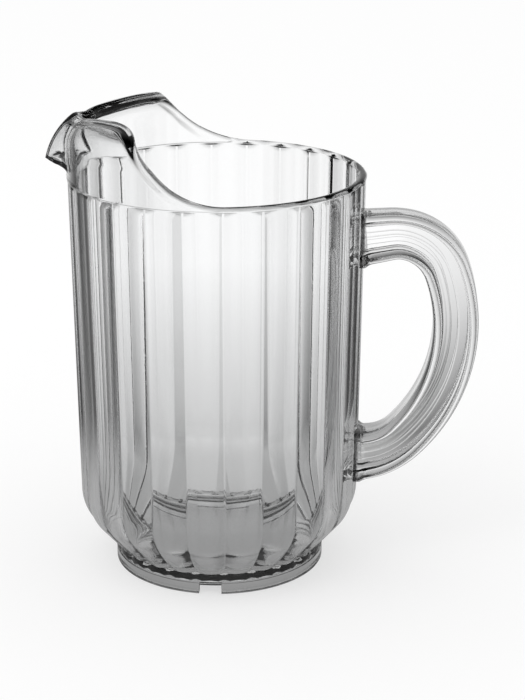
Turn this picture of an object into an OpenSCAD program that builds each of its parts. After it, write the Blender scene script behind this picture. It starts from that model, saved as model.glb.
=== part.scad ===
// Clear moulded beer pitcher: reeded body on a notched foot, hooded three-way pouring mouth, side handle.
// Millimetres, +Z up. The origin is the centre of the ring that it stands on.
// The handle points along +X and the beak along -X, so the XZ plane is the plane of symmetry.

/* [Body] */
// Outer radius of the body where the straight wall starts, above the rounded heel
body_r = 64.6; // [58:0.1:72]
// Height of the top of the body wall, where the plain collar starts
body_h = 184; // [160:1:200]
// Slope of the wall outwards, in degrees
draft = 0.9; // [0.5:0.1:1.2]
// Thickness of the wall at the middle of a reed
wall_t = 3.8; // [3.2:0.1:5]
// Radius of the rounded heel in side view
heel_r = 24; // [18:0.5:28]
// Slope of the heel where it meets the floor, in degrees from upright
heel_angle = 41; // [36:1:46]
// Thickness of the floor
floor_t = 4.5; // [3:0.1:6]

/* [Reeds] */
// Number of upright reeds round the body
reed_count = 24; // [20:2:32]
// Radius of the round face of a reed, at the top of the body
reed_r = 20; // [17:0.5:26]
// Plain band left between the reeds and the collar
reed_gap = 0.6; // [0.4:0.1:4]
// Height over which the grooves between the reeds run out at their top
reed_end = 0.6; // [0.4:0.1:2]

/* [Foot] */
// Outer radius of the foot ring, and of the floor above it
foot_r = 48.6; // [46:0.1:54]
// Height of the foot ring
foot_h = 5.2; // [4.6:0.1:7]
// Width of the foot ring from outside to inside
foot_w = 4.6; // [3:0.1:7]
// Chamfer on the lower outer edge of the foot ring
foot_chamfer = 0.6; // [0.2:0.1:1]
// Width of each drain notch
notch_w = 10.2; // [6:0.2:14]
// Height of each drain notch
notch_h = 4.4; // [3:0.1:4.5]

/* [Pouring hood] */
// How far the plain collar stands out from the body
collar_step = 0.3; // [0:0.1:0.8]
// Height of the level rim above the body wall
rim_h = 1.4; // [1:0.1:6]
// Radius, in side view, of the sweep from the level rim up to the hood
ramp_r = 48; // [44:0.5:50]
// Distance from the axis, towards the handle, at which that sweep leaves the rim
ramp_x = 12; // [8:0.5:18]
// Height of the upright part of the hood above the body wall
hood_straight = 14.5; // [13:0.5:18]
// Radius of the shoulder that turns the hood inwards
shoulder_r = 13.5; // [11:0.5:15]
// Slope of the crown inside the shoulder, in degrees
crown_pitch = 15; // [10:1:20]
// Radius of the rounded front of the mouth, seen from above
mouth_r = 21.7; // [18:0.5:26]
// Distance from the axis to the front of the mouth
mouth_x = 60; // [56:0.5:61]

/* [Beak] */
// How far the tip of the beak stands out from the collar
beak_reach = 10; // [6:0.5:14]
// Width of the beak where it leaves the collar
beak_w = 37; // [28:1:44]
// Height of the underside of the beak above the level rim
beak_lift = 3.9; // [2:0.1:6]
// Bulge of the ridge of the beak from a straight line
beak_bulge = 4; // [2:0.1:6]

/* [Handle] */
// Width of the handle, along Y
handle_w = 16.5; // [13:0.5:17]
// Depth of the handle, from its outer edge to its finger side
handle_d = 20.6; // [18:0.2:24]
// Depth of each of the two rounded edge bands
band_d = 6.2; // [5:0.1:7.5]
// Thickness of the web between the bands
web_t = 10.6; // [7:0.1:12.5]
// Length of the upper arm from the wall to the upper bend
arm_len = 11.5; // [8:0.5:16]
// Height of the start of the upper bend
arm_z = 157.8; // [150:0.5:162]
// Rise of the upper arm, in degrees
arm_rise = 8; // [0:0.5:10]
// Radius of the upper bend
upper_bend_r = 24; // [20:0.5:28]
// Turn of the upper bend, in degrees
upper_turn = 78; // [72:1:82]
// Radius of the long curve of the grip
grip_r = 77; // [72:0.5:80]
// Turn of the long curve of the grip, in degrees
grip_turn = 65; // [60:1:68]
// Radius of the lower bend
lower_bend_r = 30; // [24:0.5:32]

/* [Hidden] */
$fn = 144;

clear_plastic = [0.90, 0.92, 0.93, 0.55];
cut_over = 1; // how far a cutter runs past the face that it leaves
floor_z = foot_h + floor_t;

// Heel: a cone rises from the edge of the floor at heel_angle and an arc turns it into the drafted wall
heel_steps = 6;
cone_drop = body_r - foot_r - heel_r * (cos(draft) - cos(heel_angle));
cone_len = cone_drop / sin(heel_angle);
heel_z = floor_z + cone_len * cos(heel_angle) + heel_r * (sin(heel_angle) - sin(draft));
heel_c = [body_r - heel_r * cos(draft), heel_z + heel_r * sin(draft)];
top_r = body_r + (body_h - heel_z) * tan(draft);

// Reeds: round faces that meet in sharp grooves, all scaled with the radius of the wall
reed_steps = 6; // columns of the wall's surface in one reed
reed_half = 180 / reed_count;
reed_z = body_h - reed_gap - reed_end;
reed_d = top_r - reed_r; // distance from the axis to the middle of a reed's circle

// Hood: the collar carried up, turned inwards over the shoulder, and trimmed to the mouth
collar_r = top_r + collar_step;
hood_t = wall_t + collar_step;
rim_z = body_h + rim_h;
shoulder_z = body_h + hood_straight;
shoulder_c = [collar_r - shoulder_r, shoulder_z];
mouth_back = ramp_x - 0.7 * ramp_r; // where the side sweeps take over from the V of the mouth
mouth_top = rim_z + 2 * ramp_r; // clear of the hood's highest point
mouth_steps = 12;
ramp_steps = 24;

// Beak: a nose on the front of the hood
beak_z = rim_z + beak_lift;
beak_tip = [-(collar_r + beak_reach), beak_z];
beak_in = hood_t / 2; // how far the beak's corners start inside the face that they leave
beak_dip = 0.4; // how far the ridge starts below the hood's outer face
beak_crown_r = mouth_x - beak_in;
beak_crown_h = sqrt(pow(shoulder_r - beak_dip, 2) - pow(beak_crown_r - shoulder_c[0], 2));
beak_crown = [-beak_crown_r, shoulder_z + beak_crown_h];
beak_root_x = -sqrt(pow(collar_r - beak_in, 2) - pow(beak_w / 2, 2));
beak_steps = 8;

// Handle: three bends on one centre line in the XZ plane, all turning the same way
arm_x = wall_at(0, arm_z) + arm_len;
upper_c = [arm_x + upper_bend_r * sin(arm_rise), arm_z - upper_bend_r * cos(arm_rise)];
upper_end = upper_turn - arm_rise; // how far below level the upper bend ends
grip_c = upper_c + (upper_bend_r - grip_r) * [sin(upper_end), cos(upper_end)];
grip_end = upper_end + grip_turn;
lower_c = grip_c + (grip_r - lower_bend_r) * [sin(grip_end), cos(grip_end)];
inside_x = body_r / 2; // both arms run on into the body, which trims them

// Points of an arc in a plane, both ends included
function arc_points(centre, r, a0, a1, steps) =
    [for (i = [0 : steps]) let (a = a0 + (a1 - a0) * i / steps) centre + r * [cos(a), sin(a)]];

// Stations of a bend: a point of the centre line and the angle of its outward normal, the first one left out
function bend(centre, r, a0, a1, steps) =
    [for (i = [1 : steps]) let (a = a0 + (a1 - a0) * i / steps) [each (centre + r * [cos(a), sin(a)]), a]];

// Section of the handle: two rounded bands joined by a thinner web, depth first and then width
section_steps = 6;
band_u = (handle_d - band_d) / 2;
band_v = (handle_w - band_d) / 2;
web_angle = asin((web_t / 2 - band_v) / (band_d / 2));
handle_outline = concat(
    arc_points([band_u, -band_v], band_d / 2, web_angle - 180, 0, section_steps),
    arc_points([band_u, band_v], band_d / 2, 0, 180 - web_angle, section_steps),
    arc_points([-band_u, band_v], band_d / 2, web_angle, 180, section_steps),
    arc_points([-band_u, -band_v], band_d / 2, 180, 360 - web_angle, section_steps)
);
stations = concat(
    [[inside_x, arm_z - (arm_x - inside_x) * tan(arm_rise), 90 + arm_rise]],
    [[arm_x, arm_z, 90 + arm_rise]],
    bend(upper_c, upper_bend_r, 90 + arm_rise, 90 - upper_end, 10),
    bend(grip_c, grip_r, 90 - upper_end, 90 - grip_end, 12),
    bend(lower_c, lower_bend_r, 90 - grip_end, -90, 7),
    [[inside_x, lower_c[1] - lower_bend_r, -90]]
);

// Point of the heel's arc on a face that lies t inside the outer one
function heel_point(t, angle) = heel_c + (heel_r - t) * [cos(angle), -sin(angle)];

// Radius, at height z, of the heel's cone on a face that lies t inside the outer one
function cone_at(t, z) = heel_point(t, heel_angle)[0] - (heel_point(t, heel_angle)[1] - z) * tan(heel_angle);

// Radius, at height z, of the drafted wall on a face that lies t inside the outer one
function wall_at(t, z) = heel_point(t, draft)[0] + (z - heel_point(t, draft)[1]) * tan(draft);

// Share of the radius by which a reed's face falls back at an angle from its middle
function reed_cut(angle) =
    1 - (reed_d * cos(angle) + sqrt(pow(reed_r, 2) - pow(reed_d * sin(angle), 2))) / top_r;

// Angle of the i-th step round the heel, from the wall down to the cone
function heel_step(i) = draft + (heel_angle - draft) * i / heel_steps;

// Rings of the wall's faces: radius, height, slope of the face and share of the grooves' full depth
outer_rings = concat(
    [[cone_at(0, floor_z), floor_z, 0, 1 / cos(heel_angle)]],
    [for (i = [heel_steps : -1 : 0]) [each heel_point(0, heel_step(i)), heel_step(i), 1]],
    [[wall_at(0, reed_z), reed_z, 0, 1]],
    [[wall_at(0, reed_z + reed_end), reed_z + reed_end, 0, 0]],
    [[top_r, body_h, 0, 0]]
);
inner_rings = concat(
    [[wall_at(wall_t, body_h), body_h, 0, 0]],
    [for (i = [0 : heel_steps]) [each heel_point(wall_t, heel_step(i)), heel_step(i), 0]],
    [[cone_at(wall_t, floor_z), floor_z, 0, 0]]
);

// Point of a ring at a column, drawn back along the face's normal by the groove
function wall_point(ring, column) =
    let (
        angle = (column / reed_steps * 2 - 1) * reed_half,
        off = (column % reed_steps / reed_steps * 2 - 1) * reed_half,
        cut = ring[0] * ring[3] * reed_cut(off),
        r = ring[0] - cut * cos(ring[2])
    )
    [r * cos(angle), r * sin(angle), ring[1] + cut * sin(ring[2])];

// Closed skin over rings of equal length that run round a hollow section
module ring_skin(rings, columns) {
    points = [for (ring = rings) for (j = [0 : columns - 1]) wall_point(ring, j)];
    count = len(rings);
    at = function(k, j) (k % count) * columns + j % columns;
    faces = [for (k = [0 : count - 1]) for (j = [0 : columns - 1])
        each [[at(k, j), at(k + 1, j), at(k + 1, j + 1)], [at(k, j), at(k + 1, j + 1), at(k, j + 1)]]];
    polyhedron(points, faces);
}

// The reed behind the handle, filled, with the part of the body that lies inside it
module body_at_handle() {
    shrink = body_r / top_r;
    foot_of_reed = [reed_d * shrink, heel_z];
    rise = [reed_d, body_h] - foot_of_reed;
    translate([foot_of_reed[0], 0, foot_of_reed[1]]) rotate([0, atan(rise[0] / rise[1]), 0])
        cylinder(r1 = reed_r * shrink, r2 = reed_r, h = norm(rise));
    translate([0, -handle_w, floor_z]) cube([foot_of_reed[0], 2 * handle_w, body_h - floor_z]);
}

// Half outline of the hood, from z0 up, on a face that lies t inside the outer one, filled to the axis
module hood_outline(t, z0) {
    crown = shoulder_c + (shoulder_r - t) * [sin(crown_pitch), cos(crown_pitch)];
    polygon([
        [0, z0],
        [collar_r - t, z0],
        [collar_r - t, shoulder_z],
        shoulder_c,
        crown,
        [0, crown[1] + crown[0] * tan(crown_pitch)]
    ]);
    translate(shoulder_c) circle(shoulder_r - t);
}

// Nose with a curved ridge, a flat underside and its back inside the hood
module nose() {
    along = beak_tip - beak_crown;
    bulge = beak_bulge * [along[1], -along[0]] / norm(along);
    ridge = [for (i = [0 : beak_steps])
        let (p = beak_crown + along * i / beak_steps + bulge * sin(180 * i / beak_steps))
        [p[0], 0, p[1]]];
    sides = [for (s = [-1, 1]) [beak_root_x, s * beak_w / 2, beak_z]];
    back = [beak_crown[0] + beak_reach, 0, beak_z];
    near = beak_steps + 1;
    far = beak_steps + 2;
    inner = beak_steps + 3;
    polyhedron(
        concat(ridge, sides, [back]),
        concat(
            [for (i = [0 : beak_steps - 1]) [i, i + 1, near]],
            [for (i = [0 : beak_steps - 1]) [i + 1, i, far]],
            [[beak_steps, inner, near], [beak_steps, far, inner], [0, near, inner], [0, inner, far]]
        )
    );
}

// Space of the mouth: the side sweeps and the level rim, then the rounded V at the front
module mouth() {
    reach = 2 * collar_r;
    ramp = arc_points([ramp_x, rim_z + ramp_r], ramp_r, 180, 270, ramp_steps);
    front = arc_points([mouth_r - mouth_x, 0], mouth_r, 135, 225, mouth_steps);
    back_y = front[0][1] + mouth_back - front[0][0];
    translate([0, reach, 0]) rotate([90, 0, 0]) linear_extrude(2 * reach)
        polygon(concat([[ramp_x - ramp_r, mouth_top]], ramp, [[reach, rim_z], [reach, mouth_top]]));
    translate([0, 0, rim_z]) linear_extrude(mouth_top - rim_z)
        polygon(concat(front, [[mouth_back, -back_y], [mouth_back, back_y]]));
}

// Handle before it is cut to the body: its section carried along its stations
module handle_sweep() {
    count = len(handle_outline);
    last = len(stations) - 1;
    points = [for (s = stations) for (q = handle_outline)
        [s[0] + q[0] * cos(s[2]), q[1], s[1] + q[0] * sin(s[2])]];
    at = function(k, j) k * count + j % count;
    sides = [for (k = [0 : last - 1]) for (j = [0 : count - 1])
        each [[at(k, j), at(k + 1, j), at(k + 1, j + 1)], [at(k, j), at(k + 1, j + 1), at(k, j + 1)]]];
    ends = [[for (j = [0 : count - 1]) j], [for (j = [count - 1 : -1 : 0]) at(last, j)]];
    polyhedron(points, concat(sides, ends));
}

module foot_ring() {
    color(clear_plastic) difference() {
        rotate_extrude() polygon([
            [foot_r - foot_w, 0],
            [foot_r - foot_chamfer, 0],
            [foot_r, foot_chamfer],
            [foot_r, foot_h],
            [foot_r - foot_w, foot_h]
        ]);
        translate([-notch_w / 2, -2 * foot_r, -cut_over]) cube([notch_w, 4 * foot_r, notch_h + cut_over]);
    }
}

module base_floor() {
    color(clear_plastic) translate([0, 0, foot_h])
        cylinder(h = floor_t, r = foot_r);
}

module body_wall() {
    color(clear_plastic) ring_skin(concat(outer_rings, inner_rings), reed_count * reed_steps);
}

module pouring_hood() {
    color(clear_plastic) difference() {
        rotate_extrude() hood_outline(0, body_h);
        rotate_extrude() hood_outline(hood_t, body_h - cut_over);
        mouth();
    }
}

module beak() {
    color(clear_plastic) difference() {
        nose();
        rotate_extrude() hood_outline(0, body_h);
        mouth();
    }
}

module handle() {
    color(clear_plastic) difference() {
        handle_sweep();
        body_at_handle();
    }
}

foot_ring();
base_floor();
body_wall();
pouring_hood();
beak();
handle();
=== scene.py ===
import bmesh
import bpy
import math
import numpy as np
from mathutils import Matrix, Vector


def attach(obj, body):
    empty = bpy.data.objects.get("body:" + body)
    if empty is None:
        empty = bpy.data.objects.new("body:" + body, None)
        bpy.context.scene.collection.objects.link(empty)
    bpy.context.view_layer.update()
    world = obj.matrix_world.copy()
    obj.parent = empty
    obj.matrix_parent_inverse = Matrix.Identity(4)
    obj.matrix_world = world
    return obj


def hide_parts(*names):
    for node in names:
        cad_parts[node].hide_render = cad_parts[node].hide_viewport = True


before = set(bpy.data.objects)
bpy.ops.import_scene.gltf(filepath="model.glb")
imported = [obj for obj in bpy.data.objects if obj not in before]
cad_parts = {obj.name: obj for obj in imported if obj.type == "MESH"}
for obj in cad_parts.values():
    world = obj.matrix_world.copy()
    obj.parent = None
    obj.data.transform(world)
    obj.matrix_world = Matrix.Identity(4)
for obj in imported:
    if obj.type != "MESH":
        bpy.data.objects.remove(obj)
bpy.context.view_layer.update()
mm = 0.001
white = (1.0, 1.0, 1.0, 1.0)
print("frame loaded:", ", ".join(sorted(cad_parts)))


# nodes: sums are written as sums, and every other node comes from add
class Wire:
    def __init__(self, bench, node, out=0):
        self.bench, self.node, self.socket = bench, node, node.outputs[out]

    def other(self, out):
        return Wire(self.bench, self.node, out)

    def sum(self, operation, *values):
        return self.bench.add("ShaderNodeMath", {"operation": operation}, dict(enumerate(values)))

    def __add__(self, value):
        return self.sum("ADD", self, value)

    def __radd__(self, value):
        return self.sum("ADD", value, self)

    def __sub__(self, value):
        return self.sum("SUBTRACT", self, value)

    def __rsub__(self, value):
        return self.sum("SUBTRACT", value, self)

    def __mul__(self, value):
        return self.sum("MULTIPLY", self, value)

    def __rmul__(self, value):
        return self.sum("MULTIPLY", value, self)

    def __truediv__(self, value):
        return self.sum("DIVIDE", self, value)

    def __rtruediv__(self, value):
        return self.sum("DIVIDE", value, self)

    def __pow__(self, value):
        return self.sum("POWER", self, value)


class Bench:
    def __init__(self, tree):
        self.tree = tree
        tree.nodes.clear()

    def add(self, kind, settings=None, sockets=None, out=0):
        node = self.tree.nodes.new(kind)
        for name, value in (settings or {}).items():
            if name == "stops":
                ramp = node.color_ramp
                while len(ramp.elements) < len(value):
                    ramp.elements.new(1.0)
                for element, (place, tone) in zip(ramp.elements, value):
                    element.position, element.color = place, (*tone, 1.0)
            else:
                setattr(node, name, value)
        for name, value in (sockets or {}).items():
            if isinstance(value, Wire):
                self.tree.links.new(value.socket, node.inputs[name])
            else:
                node.inputs[name].default_value = value
        return Wire(self, node, out) if len(node.outputs) else node


def newMaterial(name):
    material = bpy.data.materials.new(name)
    material.use_nodes = True
    return material, Bench(material.node_tree)


def newTree(name, inputs):  # a geometry tree with named inputs, and the wires that they come in on
    tree = bpy.data.node_groups.new(name, "GeometryNodeTree")
    tree.interface.new_socket("Geometry", in_out="OUTPUT", socket_type="NodeSocketGeometry")
    tree.interface.new_socket("Geometry", in_out="INPUT", socket_type="NodeSocketGeometry")
    for label, kind in inputs.items():
        tree.interface.new_socket(label, in_out="INPUT", socket_type=kind)
    bench = Bench(tree)
    way = bench.add("NodeGroupInput", out="Geometry")
    return bench, {label: way.other(label) for label in ["Geometry", *inputs]}


def closeTree(bench, shape, material):
    whole = bench.add("GeometryNodeRealizeInstances", None, {"Geometry": shape})
    dressed = bench.add("GeometryNodeSetMaterial", None, {"Geometry": whole, "Material": material})
    bench.add("NodeGroupOutput", None, {"Geometry": dressed})


def runTree(thing, bench, values):  # the result as a plain mesh, with the modifier gone
    modifier = thing.modifiers.new(bench.tree.name, "NODES")
    modifier.node_group = bench.tree
    for item in bench.tree.interface.items_tree:
        if item.in_out == "INPUT" and item.name in values:
            modifier[item.identifier] = values[item.name]
    solid = bpy.data.meshes.new_from_object(thing.evaluated_get(bpy.context.evaluated_depsgraph_get()))
    thing.modifiers.remove(modifier)
    return solid


def putDown(name, mesh, sharpAngle):  # a smooth object at the origin, with edges past the angle kept sharp
    tidy = bmesh.new()
    tidy.from_mesh(mesh)
    bmesh.ops.recalc_face_normals(tidy, faces=tidy.faces)
    tidy.to_mesh(mesh)
    tidy.free()
    for face in mesh.polygons:
        face.use_smooth = True
    mesh.set_sharp_from_angle(angle=math.radians(sharpAngle))
    thing = bpy.data.objects.new(name, mesh)
    bpy.context.scene.collection.objects.link(thing)
    return thing


# clear plastic: a faint haze, fine scuffs that follow no grain, and a foot that is worn dull
clearPlastic = {
    "colour": (0.975, 0.978, 0.98, 1.0), "ior": 1.585, "polish": 0.008,
    "haze": 0.03, "hazeScale": 28.0, "hazePower": 3.0,
    "scuffs": 0.05, "scuffScale": 900.0, "scuffFrom": 0.64, "scuffTo": 0.74, "scuffHeight": 0.3,
    "footWear": 0.18, "footWearHeight": 1.2 * mm,
    "ripple": 0.015, "rippleScale": 90.0, "rippleDepth": 0.4 * mm,
}


def makeClearPlastic(name, look):
    material, bench = newMaterial(name)
    place = bench.add("ShaderNodeTexCoord", out="Object")
    height = bench.add("ShaderNodeSeparateXYZ", None, {"Vector": place}, out="Z")

    def noise(scale, detail):
        return bench.add("ShaderNodeTexNoise", None, {"Vector": place, "Scale": scale, "Detail": detail})

    cloud = noise(look["hazeScale"], 3.0)
    grit = noise(look["scuffScale"], 2.0)
    scuffs = bench.add("ShaderNodeMapRange", {"clamp": True},
                       {0: grit, 1: look["scuffFrom"], 2: look["scuffTo"], 3: 0.0, 4: 1.0})
    wear = bench.add("ShaderNodeMapRange", {"clamp": True},
                     {0: height, 1: 0.0, 2: look["footWearHeight"], 3: 1.0, 4: 0.0})
    roughness = (look["polish"] + cloud ** look["hazePower"] * look["haze"]
                 + scuffs * look["scuffs"] + wear * look["footWear"])
    swell = noise(look["rippleScale"], 1.0)
    ripple = bench.add("ShaderNodeBump", None, {
        "Strength": look["ripple"],
        "Distance": look["rippleDepth"],
        "Height": swell + scuffs * look["scuffHeight"],
    }, out="Normal")
    shader = bench.add("ShaderNodeBsdfPrincipled", None, {
        "Base Color": look["colour"],
        "Roughness": roughness,
        "IOR": look["ior"],
        "Transmission Weight": 1.0,
        "Normal": ripple,
    })
    bench.add("ShaderNodeOutputMaterial", None, {"Surface": shader})
    return material


plastic = makeClearPlastic("clearPlastic", clearPlastic)
print("clear plastic mixed")


# shell: sizes in millimetres and degrees, as on the drawing, then the rows and columns of its mesh
body = {
    "radius": 64.6, "height": 184.0, "draft": 0.9, "wall": 3.8,
    "heelRadius": 24.0, "heelAngle": 41.0, "floor": 4.5, "floorFillet": 14.0, "filletLead": 6.0,
    "reeds": 24, "reedRadius": 20.0, "reedTop": 182.8, "reedEnd": 0.6, "reedFade": (0.25, 0.75, 1.0),
    "footRadius": 48.6, "footHeight": 5.2, "footWidth": 4.6, "footRound": 0.6, "footFillet": 1.2,
    "footGroove": 0.6, "footGrooveHeight": 1.2, "reedBulge": 0.35, "grooveBulge": 0.5,
    "notchWidth": 10.2, "notchHeight": 4.4, "notchEdge": 0.06, "notchFacing": (-90.0, 90.0),
    "columnsPerReed": 20, "columnBunch": (0.55, 0.45), "sharpAngle": 60.0,
    "undersideRadii": (8.0, 20.0, 32.0, 39.0), "ringHeights": (2.0, 3.6, 4.6),
    "coneShares": (0.0, 0.03, 0.1, 0.2, 0.35, 0.5, 0.75, 1.0),
    "wallHeights": (45.0, 70.0, 100.0, 130.0, 155.0, 172.0, 180.0),
    "insideHeights": (150.0, 110.0, 70.0), "floorRadii": (32.0, 22.0, 12.0, 5.0),
    "edgeRows": 4, "grooveRows": 8, "reedEndRows": 10, "heelRows": 12, "filletRows": 10,
}
hood = {
    "step": 0.3, "start": 184.05, "rim": 185.4, "rampRadius": 45.0, "rampX": 9.8,
    "shoulderZ": 198.5, "shoulderRadius": 13.5, "crownPitch": 15.0,
    "mouthRadius": 21.7, "mouthX": 60.0, "mouthNarrow": 1.6, "mouthBehind": 0.7, "cornerBlend": 9.0,
    "collarFoot": 183.6, "collarStep": ((0.15, 183.8), (0.75, 183.95)),
    "lipRound": 1.9, "lipBead": 1.7, "lipBeadLength": 4.5, "beadStart": 2.0, "beadGrowth": 12.0,
    "runRows": (6, 6, 30), "lowShare": 0.4, "ledgeShare": 0.03, "lipRows": 14,
    "longestRun": 60.0, "halvings": 40,
}
beak = {
    "crown": (64.1, 211.2), "swell": (74.6, 203.0), "tip": (77.5, 190.1), "curvePoints": 200,
    "halfAngle": 16.5, "halfAngleCrown": 8.0, "sidePower": 1.2, "ridgeRound": 0.7,
    "ledge": 2.2, "floor": 1.0, "hollow": 1.22,
}


def cosine(angle):
    return math.cos(math.radians(angle))


def sine(angle):
    return math.sin(math.radians(angle))


def tangent(angle):
    return math.tan(math.radians(angle))


heelSpan = body["heelRadius"] * (cosine(body["draft"]) - cosine(body["heelAngle"]))
coneDrop = body["radius"] - body["footRadius"] - heelSpan
floorZ = body["footHeight"] + body["floor"]
heelZ = (floorZ + coneDrop / tangent(body["heelAngle"])
         + body["heelRadius"] * (sine(body["heelAngle"]) - sine(body["draft"])))
heelCentre = (body["radius"] - body["heelRadius"] * cosine(body["draft"]),
              heelZ + body["heelRadius"] * sine(body["draft"]))
topRadius = body["radius"] + (body["height"] - heelZ) * tangent(body["draft"])
reedHalf = 180.0 / body["reeds"]
reedDistance = topRadius - body["reedRadius"]
collarRadius = topRadius + hood["step"]
hoodWall = body["wall"] + hood["step"]
hoodStraight = hood["shoulderZ"] - hood["start"]
hoodBend = hood["shoulderRadius"] - hoodWall / 2.0
shoulderR = collarRadius - hood["shoulderRadius"]
beakFoot = beak["tip"][1] - hood["start"]


def heelPoint(inset, angle):
    reach = body["heelRadius"] - inset
    return heelCentre[0] + reach * cosine(angle), heelCentre[1] - reach * sine(angle)


def coneAt(inset, z):
    r, zEnd = heelPoint(inset, body["heelAngle"])
    return r - (zEnd - z) * tangent(body["heelAngle"])


def wallAt(inset, z):
    r, zStart = heelPoint(inset, body["draft"])
    return r + (z - zStart) * tangent(body["draft"])


def reedCut(angle):  # share of the radius by which a reed's face falls back, at an angle in degrees
    off = np.radians((np.asarray(angle) / (2.0 * reedHalf) + 0.5) % 1.0 - 0.5) * 2.0 * reedHalf
    face = reedDistance * np.cos(off) + np.sqrt(body["reedRadius"] ** 2 - (reedDistance * np.sin(off)) ** 2)
    return 1.0 - face / topRadius


def arcRows(r, z, radius, start, end, count):  # points of a round edge, with the first one left out
    angles = np.linspace(start, end, count + 1)[1:]
    return [(r + radius * cosine(a), z + radius * sine(a)) for a in angles]


def softMin(a, b, blend):
    share = np.clip(0.5 + 0.5 * (b - a) / blend, 0.0, 1.0)
    return b + (a - b) * share - blend * share * (1.0 - share)


def mouthGap(x, y, z):  # distance from a point to the space of the mouth, below zero inside it
    ahead = np.minimum(x - hood["rampX"], 0.0)
    sweep = np.hypot(ahead, z - hood["rim"] - hood["rampRadius"]) - hood["rampRadius"]
    centre = hood["mouthRadius"] - hood["mouthX"]
    side = np.abs(y) + hood["mouthNarrow"]
    front = np.hypot(x - centre, side) - hood["mouthRadius"]
    edge = (side - (x - centre)) / math.sqrt(2.0) - hood["mouthRadius"]
    vee = np.where(-(x - centre) > side, front, edge)
    behind = x - hood["rampX"] + hood["mouthBehind"] * hood["rampRadius"]
    vee = np.maximum(np.maximum(vee, hood["rim"] - z), behind)
    return softMin(sweep, vee, hood["cornerBlend"])


def hoodPath(inset, run):  # radius and height along the hood's section, and the direction square to it
    turn = math.radians(90.0 - hood["crownPitch"])
    angle = np.clip((run - hoodStraight) / hoodBend, 0.0, turn)
    over = np.maximum(run - hoodStraight - hoodBend * turn, 0.0)
    reach = hood["shoulderRadius"] - inset
    r = shoulderR + reach * np.cos(angle) - over * cosine(hood["crownPitch"])
    z = (hood["shoulderZ"] + reach * np.sin(angle) + over * sine(hood["crownPitch"])
         + np.minimum(run - hoodStraight, 0.0))
    return r, z, np.cos(angle), np.sin(angle)


def runToMouth(gap, cosB, sinB):  # how far the middle of the wall runs before the mouth is a gap away
    low = np.zeros_like(cosB)
    high = np.full_like(cosB, hood["longestRun"])
    for _ in range(hood["halvings"]):
        middle = (low + high) / 2.0
        r, z = hoodPath(hoodWall / 2.0, middle)[:2]
        clear = mouthGap(r * cosB, r * sinB, z) > gap
        low = np.where(clear, middle, low)
        high = np.where(clear, high, middle)
    return low


def beakRise(run, turn, lift):  # how far the beak stands off the hood, at an angle from its ridge
    u = np.linspace(1.0, 0.0, beak["curvePoints"])
    corners = zip(beak["crown"], beak["swell"], beak["tip"])
    r, z = [(1 - u) ** 2 * a + 2 * u * (1 - u) * b + u ** 2 * c for a, b, c in corners]
    upright = z < hood["shoulderZ"]
    outR, outZ = r - shoulderR, z - hood["shoulderZ"]
    along = np.where(upright, z - hood["start"], hoodStraight + hoodBend * np.arctan2(outZ, outR))
    rise = np.where(upright, r - collarRadius, np.hypot(outZ, outR) - hood["shoulderRadius"])
    peak = np.interp(run, along, rise)
    share = np.clip((run - beakFoot) / (along[-1] - beakFoot), 0.0, 1.0)
    width = beak["halfAngle"] + (beak["halfAngleCrown"] - beak["halfAngle"]) * share
    off = np.sqrt(turn ** 2 + beak["ridgeRound"] ** 2) - beak["ridgeRound"]
    side = np.clip(1.0 - off / width, 0.0, 1.0) ** beak["sidePower"]
    lead = np.clip((run - beakFoot - lift + beak["ledge"]) / beak["ledge"], 0.0, 1.0)
    return peak * side * lead


def hoodRuns(end, lift):  # runs up each column, closer together at the floor of the beak
    low, ledge, high = hood["runRows"]
    first = np.minimum(beakFoot + lift - beak["ledge"], hood["lowShare"] * end)
    second = first + np.minimum(beak["ledge"], hood["ledgeShare"] * end)
    runs = [first * i / low for i in range(low)]
    runs += [first + (second - first) * i / ledge for i in range(ledge)]
    return runs + [second + (end - second) * i / high for i in range(high + 1)]


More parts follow.
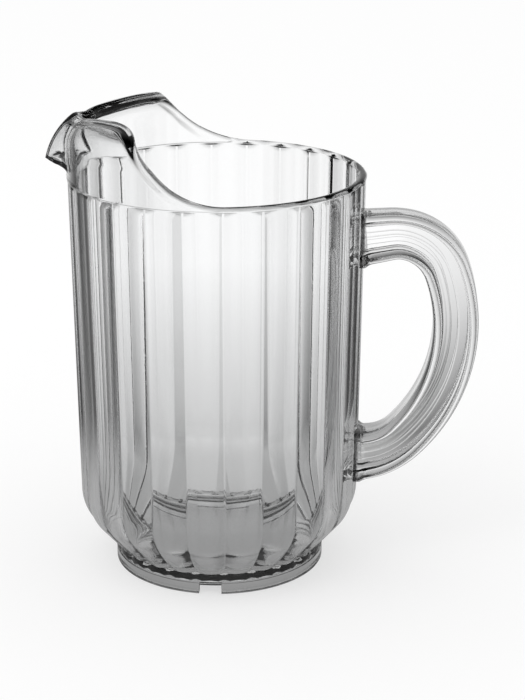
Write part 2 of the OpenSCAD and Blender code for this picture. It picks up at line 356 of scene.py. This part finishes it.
def makeShell():
    spread = (np.arange(body["columnsPerReed"]) + 0.5) / body["columnsPerReed"] * 2.0 - 1.0
    bunched, even = body["columnBunch"]
    spread = bunched * np.sin(spread * math.pi / 2.0) + even * spread  # closer together at the grooves
    beta = (np.arange(body["reeds"])[:, None] * 2.0 * reedHalf + spread[None, :] * reedHalf).ravel()
    cosB, sinB = np.cos(np.radians(beta)), np.sin(np.radians(beta))
    columns = len(beta)
    rows = []  # radius, height, direction of pressing, share of the groove, whether it is in the foot ring

    def row(r, z, slope=0.0, share=0.0, foot=False):
        full = np.ones(columns)
        rows.append((r * full, z * full, cosine(slope) * full, sine(slope) * full, share * full, foot))

    # underside and foot ring
    inner = body["footRadius"] - body["footWidth"]
    fillet, edge = body["footFillet"], body["footRound"]
    for r in (*body["undersideRadii"], inner - fillet):
        row(r, body["footHeight"])
    for r, z in arcRows(inner - fillet, body["footHeight"] - fillet, fillet, 90.0, 0.0, body["edgeRows"]):
        row(r, z)
    row(inner, edge * 2.0, foot=True)
    row(inner, edge, foot=True)
    for r, z in arcRows(inner + edge, edge, edge, 180.0, 270.0, body["edgeRows"]):
        row(r, z, foot=True)
    row(body["footRadius"] - edge * 2.0, 0.0, foot=True)
    row(body["footRadius"] - edge, 0.0, foot=True)
    for r, z in arcRows(body["footRadius"] - edge, edge, edge, 270.0, 360.0, body["edgeRows"]):
        row(r, z, foot=True)
    for z in body["ringHeights"]:
        row(body["footRadius"], z, foot=True)
    for angle in np.linspace(0.0, 180.0, body["grooveRows"] + 1):  # fine groove above the foot ring
        z = body["footHeight"] + body["footGrooveHeight"] * (0.5 - 0.5 * cosine(angle))
        row(body["footRadius"] - body["footGroove"] * sine(angle), z)

    # round ends of the reeds, which come out of the upright edge of the floor
    cut = reedCut(beta)
    reedR = body["footRadius"] / (1.0 - cut * cosine(body["heelAngle"]))
    reedStart = floorZ + (reedR - body["footRadius"]) / tangent(body["heelAngle"])
    reedEdge = reedStart + reedR * cut * sine(body["heelAngle"])
    edgeStart = body["footHeight"] + body["footGrooveHeight"]
    middle = 1.0 - cut / np.max(cut)
    for part in np.linspace(0.0, 1.0, body["reedEndRows"] + 1)[1:-1]:
        bulge = (body["reedBulge"] * middle - body["grooveBulge"] * (1.0 - middle)) * sine(180.0 * part)
        climb = 0.5 - 0.5 * cosine(180.0 * part)
        row(body["footRadius"] + bulge, edgeStart + (reedEdge - edgeStart) * climb)

    # heel and wall, with the grooves fading out below the collar
    coneTop = heelPoint(0.0, body["heelAngle"])[1]
    for part in body["coneShares"]:
        z = reedStart + (coneTop - reedStart) * part
        row(coneAt(0.0, z), z, body["heelAngle"], 1.0)
    for angle in np.linspace(body["heelAngle"], body["draft"], body["heelRows"] + 1)[1:]:
        row(*heelPoint(0.0, angle), angle, 1.0)
    for z in (*body["wallHeights"], body["reedTop"]):
        row(wallAt(0.0, z), z, 0.0, 1.0)
    for part in body["reedFade"]:
        z = body["reedTop"] + part * body["reedEnd"]
        row(wallAt(0.0, z), z, 0.0, 1.0 - part)
    row(wallAt(0.0, hood["collarFoot"]), hood["collarFoot"])
    for part, z in hood["collarStep"]:
        row(topRadius + hood["step"] * part, z)

    # hood: out along each column to the mouth, round the lip and back inside
    turn = (beta % 360.0) - 180.0
    lip = hood["lipRound"]

    def hoodRow(inset, run, lift, hollow=1.0):
        r, z, nr, nz = hoodPath(inset, run)
        rise = beakRise(run, turn, lift) * hollow
        rows.append((r + nr * rise, z + nz * rise, nr, nz, np.zeros(columns), False))

    end = runToMouth(lip, cosB, sinB)
    growth = (end - hood["beadStart"]) / hood["beadGrowth"]
    bead = hood["lipBead"] * np.clip(growth, 0.0, 1.0)  # none on the level rim
    for run in hoodRuns(end, 0.0):
        hoodRow(0.0, run, 0.0)
    for part in np.linspace(0.0, 1.0, hood["lipRows"] + 1)[1:-1]:  # closer together at the corners of the lip
        depth = (hoodWall + bead) * (0.5 - 0.5 * math.cos(math.pi * part))
        near = np.minimum(np.minimum(depth, hoodWall + bead - depth), lip)
        gap = lip - np.sqrt(lip ** 2 - (lip - near) ** 2)
        hoodRow(depth, runToMouth(gap, cosB, sinB), 0.0)
    for run in hoodRuns(end, beak["floor"])[::-1]:
        fade = np.clip(1.0 - (end - run) / hood["lipBeadLength"], 0.0, 1.0)
        hoodRow(hoodWall + bead * fade * fade * (3.0 - 2.0 * fade), run, beak["floor"], beak["hollow"])

    # inside of the wall, the heel and the floor
    for z in body["insideHeights"]:
        row(wallAt(body["wall"], z), z)
    for angle in np.linspace(body["draft"], body["heelAngle"], body["heelRows"] + 1):
        row(*heelPoint(body["wall"], angle))
    fillet = body["floorFillet"]
    corner = (coneAt(body["wall"], floorZ)
              + fillet * (tangent(body["heelAngle"]) - 1.0 / cosine(body["heelAngle"])))
    start = body["filletLead"] - body["heelAngle"]  # early, because the first point is left out
    for r, z in arcRows(corner, floorZ + fillet, fillet, start, -90.0, body["filletRows"]):
        row(r, z)
    for r in body["floorRadii"]:
        row(r, floorZ)

    # drain notches: the foot ring is lifted between two upright faces at the front and at the back
    radius, height, across, up, share = [np.array([entry[k] for entry in rows]) for k in range(5)]
    foot = np.array([entry[5] for entry in rows])
    angles = np.repeat(np.radians(beta)[None, :], len(rows), axis=0)
    halfNotch = body["notchWidth"] / 2.0
    ringMiddle = body["footRadius"] - body["footWidth"] / 2.0
    limit = math.degrees(math.asin(halfNotch / ringMiddle))
    farOff = 999.0
    for facing in body["notchFacing"]:
        away = (beta - facing + 180.0) % 360.0 - 180.0
        inside = np.abs(away) < limit
        for side in (-1.0, 1.0):
            near = np.where(side * away > 0.0, np.abs(away), farOff)
            last = np.argmax(np.where(inside & (near < farOff), near, -1.0))
            following = np.argmin(np.where(~inside, near, farOff))
            for column, push in ((last, -body["notchEdge"]), (following, body["notchEdge"])):
                bend = np.arcsin((halfNotch + push) / radius[foot, column])
                angles[foot, column] = math.radians(facing) + side * bend
        squeezed = height * (body["footHeight"] - body["notchHeight"]) / body["footHeight"]
        height = np.where(foot[:, None] & inside[None, :], body["notchHeight"] + squeezed, height)

    # one closed skin, with a pole in the middle of the underside and of the floor
    grid = np.stack([radius * np.cos(angles), radius * np.sin(angles), height], axis=-1).reshape(-1, 3)
    points = np.concatenate([grid, [[0.0, 0.0, body["footHeight"]], [0.0, 0.0, floorZ]]]) * mm
    pairs = [(j, (j + 1) % columns) for j in range(columns)]
    lastRow, pole = (len(rows) - 1) * columns, len(rows) * columns
    faces = [[i + j, i + k, i + columns + k, i + columns + j]
             for i in range(0, lastRow, columns) for j, k in pairs]
    faces += [[pole, k, j] for j, k in pairs]
    faces += [[lastRow + j, lastRow + k, pole + 1] for j, k in pairs]
    mesh = bpy.data.meshes.new("plainShell")
    mesh.from_pydata(points.tolist(), [], faces)
    share = np.concatenate([share.ravel(), [0.0, 0.0]]).astype(np.float32)
    press = np.stack([-across * np.cos(angles), -across * np.sin(angles), up], axis=-1).reshape(-1, 3)
    press = np.concatenate([press, np.zeros((2, 3))]).astype(np.float32)
    mesh.attributes.new("grooveShare", "FLOAT", "POINT").data.foreach_set("value", share)
    mesh.attributes.new("pressInto", "FLOAT_VECTOR", "POINT").data.foreach_set("vector", press.ravel())
    thing = bpy.data.objects.new("plainShell", mesh)
    bpy.context.scene.collection.objects.link(thing)
    return thing


def reedTree():  # presses a plain shell back into round reeds, side by side
    bench, wires = newTree("pressReeds", {
        "Reeds": "NodeSocketFloat", "Reed radius": "NodeSocketFloat", "Reed distance": "NodeSocketFloat",
        "Top radius": "NodeSocketFloat", "Material": "NodeSocketMaterial",
    })
    x = bench.add("ShaderNodeSeparateXYZ", None, {"Vector": bench.add("GeometryNodeInputPosition")}, out="X")
    y = x.other("Y")
    around = x.sum("ARCTAN2", y, x) / (2.0 * math.pi) * wires["Reeds"] + 0.5
    off = (around.sum("FLOORED_MODULO", around, 1.0) - 0.5) * (2.0 * math.pi) / wires["Reeds"]
    across = wires["Reed distance"] * off.sum("SINE", off)
    bulge = wires["Reed radius"] ** 2.0 - across * across
    face = wires["Reed distance"] * off.sum("COSINE", off) + bulge.sum("SQRT", bulge)
    squared = x * x + y * y
    deep = squared.sum("SQRT", squared) * (1.0 - face / wires["Top radius"])
    share = bench.add("GeometryNodeInputNamedAttribute", {"data_type": "FLOAT"}, {"Name": "grooveShare"})
    into = bench.add("GeometryNodeInputNamedAttribute", {"data_type": "FLOAT_VECTOR"}, {"Name": "pressInto"})
    offset = bench.add("ShaderNodeVectorMath", {"operation": "SCALE"},
                       {"Vector": into, "Scale": deep * share})
    pressed = bench.add("GeometryNodeSetPosition", None, {"Geometry": wires["Geometry"], "Offset": offset})
    closeTree(bench, pressed, wires["Material"])
    return bench


plain = makeShell()
pressed = runTree(plain, reedTree(), {
    "Reeds": float(body["reeds"]), "Reed radius": body["reedRadius"] * mm, "Reed distance": reedDistance * mm,
    "Top radius": topRadius * mm, "Material": plastic,
})
bpy.data.objects.remove(plain)
for name in ("grooveShare", "pressInto"):
    pressed.attributes.remove(pressed.attributes[name])
shell = putDown("reeded_shell", pressed, body["sharpAngle"])
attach(shell, "root")
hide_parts("foot_ring", "base_floor", "body_wall", "pouring_hood", "beak")
print("shell pressed:", len(pressed.polygons), "faces")


# handle: a section with two rounded bands and a ribbed web, carried round three bends
handle = {
    "width": 16.5, "depth": 20.6, "band": 4.8, "web": 11.4,
    "ribs": (-3.9, -1.9, 1.0), "ribHeight": 0.09, "ribWidth": 0.4,
    "armLength": 11.5, "armZ": 157.8, "armRise": 8.0, "upperBend": 24.0, "upperTurn": 78.0,
    "grip": 77.0, "gripTurn": 65.0, "lowerBend": 30.0,
    "flare": 0.12, "flareLength": 4.0, "flarePower": 2.5,
    "rootStart": 1.0, "rootSwell": 0.1, "rootLength": 20.0, "sunk": 0.4, "sinkRounds": 3,
    "rootRows": (64.6, 65.3, 66.0, 66.7, 67.4, 68.2, 69.2, 70.5, 72.5, 75.0),
    "bendRows": (26, 34, 24), "bandPoints": 12, "webPoints": 6, "sharpAngle": 60.0,
}


def makeSection():  # outline of the handle: depth outwards, then width
    radius = handle["band"] / 2.0
    u, v = (handle["depth"] - handle["band"]) / 2.0, (handle["width"] - handle["band"]) / 2.0
    half = handle["web"] / 2.0
    lift = math.degrees(math.asin((half - v) / radius))

    def bandEdge(u, v, start, end):
        turns = np.linspace(start, end, handle["bandPoints"])
        return [(u + radius * cosine(a), v + radius * sine(a)) for a in turns]

    start = u - radius * cosine(lift)
    count = handle["webPoints"]
    web = [(start * (1.0 - i / count), 0.0) for i in range(1, 2 * count)]
    web += [(c + side * handle["ribWidth"] / 2.0, 0.0) for c in handle["ribs"] for side in (-1.0, 1.0)]
    web = sorted(web + [(c, handle["ribHeight"]) for c in handle["ribs"]], reverse=True)
    outline = bandEdge(u, -v, lift - 180.0, 0.0) + bandEdge(u, v, 0.0, 180.0 - lift)
    outline += [(w, half + h) for w, h in web]
    outline += bandEdge(-u, v, lift, 180.0) + bandEdge(-u, -v, 180.0, 360.0 - lift)
    return outline + [(w, -half - h) for w, h in web[::-1]]


def makePath():  # points of the centre line in the plane of symmetry, from the upper root to the lower one
    armX = wallAt(0.0, handle["armZ"]) + handle["armLength"]
    rise, upper, middle, lower = [handle[size] for size in ("armRise", "upperBend", "grip", "lowerBend")]
    centre = np.array([armX + upper * sine(rise), handle["armZ"] - upper * cosine(rise)])
    end = handle["upperTurn"] - rise
    gripCentre = centre + (upper - middle) * np.array([sine(end), cosine(end)])
    gripEnd = end + handle["gripTurn"]
    lowerCentre = gripCentre + (middle - lower) * np.array([sine(gripEnd), cosine(gripEnd)])
    upperRows, gripRows, lowerRows = handle["bendRows"]
    path = [(x, handle["armZ"] - (armX - x) * tangent(rise)) for x in (*handle["rootRows"], armX)]
    path += arcRows(*centre, upper, 90.0 + rise, 90.0 - end, upperRows)
    path += arcRows(*gripCentre, middle, 90.0 - end, 90.0 - gripEnd, gripRows)
    path += arcRows(*lowerCentre, lower, 90.0 - gripEnd, -90.0, lowerRows)
    return np.array(path)


def sweepTree():  # carries an outline along a path, wider by the path's own swell
    bench, wires = newTree("sweepHandle", {"Section": "NodeSocketObject", "Material": "NodeSocketMaterial"})
    outline = bench.add("GeometryNodeObjectInfo", None, {"Object": wires["Section"]}, out="Geometry")
    swell = bench.add("GeometryNodeInputNamedAttribute", {"data_type": "FLOAT"}, {"Name": "swell"})
    swept = bench.add("GeometryNodeCurveToMesh", None, {
        "Curve": bench.add("GeometryNodeMeshToCurve", None, {"Mesh": wires["Geometry"]}),
        "Profile Curve": bench.add("GeometryNodeMeshToCurve", None, {"Mesh": outline}),
        "Scale": swell,
        "Fill Caps": True,
    })
    closeTree(bench, swept, wires["Material"])
    return bench


def makeHandle():
    outline, path = makeSection(), makePath()
    sectionMesh = bpy.data.meshes.new("handleSection")
    ring = [(v * mm, -u * mm, 0.0) for u, v in outline]
    sectionMesh.from_pydata(ring, [(i, (i + 1) % len(ring)) for i in range(len(ring))], [])
    section = bpy.data.objects.new("handleSection", sectionMesh)
    pathMesh = bpy.data.meshes.new("handlePath")
    line = [(x * mm, 0.0, z * mm) for x, z in path]
    pathMesh.from_pydata(line, [(i, i + 1) for i in range(len(line) - 1)], [])
    away = path[:, 0] - path[0, 0] - handle["rootStart"]
    near = np.clip(1.0 - away / handle["flareLength"], 0.0, 1.0)
    root = np.clip(1.0 - away / handle["rootLength"], 0.0, 1.0)
    flare = handle["flare"] * near ** handle["flarePower"]
    swell = 1.0 + flare + handle["rootSwell"] * root * root * (3.0 - 2.0 * root)
    pathMesh.attributes.new("swell", "FLOAT", "POINT").data.foreach_set("value", swell.astype(np.float32))
    thing = bpy.data.objects.new("handlePath", pathMesh)
    for part in (section, thing):
        bpy.context.scene.collection.objects.link(part)
    mesh = runTree(thing, sweepTree(), {"Section": section, "Material": plastic})
    bpy.data.objects.remove(thing)
    bpy.data.objects.remove(section)

    # both ends follow the reed that they are moulded to, just under its face
    points = np.zeros(len(mesh.vertices) * 3)
    mesh.vertices.foreach_get("co", points)
    points = points.reshape(-1, 3)
    for ends in (slice(0, len(ring)), slice(len(points) - len(ring), len(points))):
        x, y, z = [points[ends, axis] / mm for axis in range(3)]
        for _ in range(handle["sinkRounds"]):
            face = wallAt(0.0, z) * (1.0 - reedCut(np.degrees(np.arctan2(y, x)))) - handle["sunk"]
            x = np.sqrt(face ** 2 - y ** 2)
        points[ends, 0] = x * mm
    mesh.vertices.foreach_set("co", points.ravel())
    return mesh


grip = putDown("ribbed_handle", makeHandle(), handle["sharpAngle"])
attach(grip, "root")
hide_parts("handle")
print("handle swept:", len(grip.data.polygons), "faces")


# stage, in metres and degrees: a pale floor in white surroundings, and a dark room with four white
# windows that only the clear plastic shows, with tones by the angle from the back window;
# the room's table carries painted light and shade, with a painted shadow under the foot
stage = {
    "floorSize": 12.0, "floorColour": (0.93, 0.93, 0.93, 1.0), "floorWhite": 0.6,
    "worldStrength": 1.0, "keyPower": 6.0, "keySize": 1.2,
    "keyPlace": (-0.9, -0.8, 1.6), "keyTarget": (0.0, 0.0, 0.1),
    "roomRadius": 1.6, "roomTurn": 4.9, "roomStep": 5, "roomRise": 10,
    "windows": [(0, 1.0), (10, 1.0), (22, 0.74), (34, 0.26), (46, 0.04), (58, 0.06), (74, 0.45), (90, 0.88),
                (106, 0.45), (119, 0.1), (135, 0.5), (150, 0.95), (180, 1.0)],
    # table tones are painted light and shade: grey near the pitcher, white further off, and a painted shadow
    # under the foot
    "tableDrop": 0.5 * mm, "tableTone": (0.53, 1.02), "tableRadius": (0.06, 0.5),
    "glow": 0.7, "glowRadius": (0.11, 0.26), "paintedShadowTone": 0.27, "paintedShadowRadius": (0.046, 0.058),
    "wallTones": [(0.0, 1.0), (0.09, 0.85), (0.29, 0.56), (0.6, 0.22), (1.0, 0.02)],
}


def putStage(name, points, faces, material, onlyInPlastic):
    mesh = bpy.data.meshes.new(name)
    mesh.from_pydata(points, [], faces)
    mesh.materials.append(material)
    thing = bpy.data.objects.new(name, mesh)
    bpy.context.scene.collection.objects.link(thing)
    for way in ("visible_camera", "visible_diffuse", "visible_shadow"):
        setattr(thing, way, not onlyInPlastic)
    for way in ("visible_glossy", "visible_transmission"):
        setattr(thing, way, onlyInPlastic)


def makeFloor():
    material, bench = newMaterial("paleFloor")
    shaded = bench.add("ShaderNodeBsdfDiffuse", None, {"Color": stage["floorColour"]})
    bright = bench.add("ShaderNodeEmission", None, {"Color": white, "Strength": 1.0})
    seen = bench.add("ShaderNodeLightPath", out="Is Camera Ray") * stage["floorWhite"]
    shader = bench.add("ShaderNodeMixShader", None, {0: seen, 1: shaded, 2: bright})
    bench.add("ShaderNodeOutputMaterial", None, {"Surface": shader})
    half = stage["floorSize"] / 2.0
    corners = [(-half, -half, 0.0), (half, -half, 0.0), (half, half, 0.0), (-half, half, 0.0)]
    putStage("floor", corners, [(0, 1, 2, 3)], material, False)


def roomPlace(bench):  # X of a point of the room, whose other outputs are Y and Z
    place = bench.add("ShaderNodeTexCoord", out="Object")
    return bench.add("ShaderNodeSeparateXYZ", None, {"Vector": place}, out="X")


def windowShare(bench, x, y):  # how white the room is in a direction, by the angle from its back window
    around = x.sum("ARCTAN2", y, x) / (2.0 * math.pi) - (90.0 + stage["roomTurn"]) / 360.0 + 0.5
    off = around.sum("ABSOLUTE", around.sum("FLOORED_MODULO", around, 1.0) - 0.5) * 2.0
    stops = [(angle / 180.0, (tone, tone, tone)) for angle, tone in stage["windows"]]
    return bench.add("ShaderNodeValToRGB", {"stops": stops}, {"Fac": off})


def glowMaterial(bench, tone):
    shader = bench.add("ShaderNodeEmission", None, {"Color": white, "Strength": tone})
    bench.add("ShaderNodeOutputMaterial", None, {"Surface": shader})


def roomRing(rise):  # points round the room, at an angle above its table
    radius = stage["roomRadius"]
    return [(radius * cosine(rise) * cosine(a), radius * cosine(rise) * sine(a), radius * sine(rise))
            for a in range(0, 360, stage["roomStep"])]


def makeTable():  # painted light and shade: a painted shadow dark under the foot, grey near the pitcher, white further off
    material, bench = newMaterial("roomTable")
    x = roomPlace(bench)
    y = x.other("Y")
    squared = x * x + y * y
    radius = squared.sum("SQRT", squared)

    def between(span, start, end, settings):  # from one tone to another over a span of the radius
        sockets = {0: radius, 1: span[0], 2: span[1], 3: start, 4: end}
        return bench.add("ShaderNodeMapRange", settings, sockets)

    smooth = {"interpolation_type": "SMOOTHSTEP"}
    share = windowShare(bench, x, y)
    # painted light and shade: grey near the pitcher even where the room is dark, white further off towards
    # the windows
    rise = between(stage["tableRadius"], *stage["tableTone"], None)
    near = between(stage["glowRadius"], stage["glow"], 0.0, smooth)
    # painted shadow: the table is dark under the foot
    clear = between(stage["paintedShadowRadius"], 0.0, 1.0, smooth)
    lit = rise * share.sum("MAXIMUM", share, near) * clear
    glowMaterial(bench, lit + (1.0 - clear) * stage["paintedShadowTone"])
    ring = [(*point[:2], -stage["tableDrop"]) for point in roomRing(0)]
    putStage("roomTable", ring, [tuple(range(len(ring)))], material, True)


def makeWalls():  # white low down in the windows, dark overhead
    material, bench = newMaterial("roomWalls")
    x = roomPlace(bench)
    stops = [(place, (tone, tone, tone)) for place, tone in stage["wallTones"]]
    tone = bench.add("ShaderNodeValToRGB", {"stops": stops}, {"Fac": x.other("Z") / stage["roomRadius"]})
    glowMaterial(bench, tone * windowShare(bench, x, x.other("Y")))
    rings = [roomRing(rise) for rise in range(0, 90, stage["roomRise"])]
    count = len(rings[0])
    lastRing, top = (len(rings) - 1) * count, len(rings) * count
    pairs = [(j, (j + 1) % count) for j in range(count)]
    faces = [(i + j, i + k, i + count + k, i + count + j)
             for i in range(0, lastRing, count) for j, k in pairs]
    faces += [(lastRing + j, lastRing + k, top) for j, k in pairs]
    points = [point for ring in rings for point in ring] + [(0.0, 0.0, stage["roomRadius"])]
    putStage("roomWalls", points, faces, material, True)


def makeWorld():
    world = bpy.data.worlds.new("whiteStudio")
    world.use_nodes = True
    bench = Bench(world.node_tree)
    sky = bench.add("ShaderNodeBackground", None, {"Color": white, "Strength": stage["worldStrength"]})
    bench.add("ShaderNodeOutputWorld", None, {"Surface": sky})
    bpy.context.scene.world = world


def makeKey():
    lamp = bpy.data.lights.new("softKey", "AREA")
    lamp.energy, lamp.size = stage["keyPower"], stage["keySize"]
    key = bpy.data.objects.new("softKey", lamp)
    key.location = stage["keyPlace"]
    key.rotation_euler = (Vector(stage["keyTarget"]) - key.location).to_track_quat("-Z", "Y").to_euler()
    bpy.context.scene.collection.objects.link(key)


# camera: its place and direction in metres, its lens and sensor in millimetres
shot = {
    "place": (0.0806, -0.8690, 0.3945), "ahead": (-0.0654, 0.9455, -0.3190),
    "lens": 102.65, "sensor": 36.0,
}


def makeCamera():
    lens = bpy.data.cameras.new("camera")
    lens.sensor_width, lens.lens = shot["sensor"], shot["lens"]
    camera = bpy.data.objects.new("camera", lens)
    camera.location = shot["place"]
    camera.rotation_euler = Vector(shot["ahead"]).to_track_quat("-Z", "Y").to_euler()
    bpy.context.scene.collection.objects.link(camera)
    bpy.context.scene.camera = camera


makeFloor()
makeTable()
makeWalls()
makeWorld()
makeKey()
makeCamera()
bpy.context.scene.view_settings.view_transform = "Standard"
print("stage set")
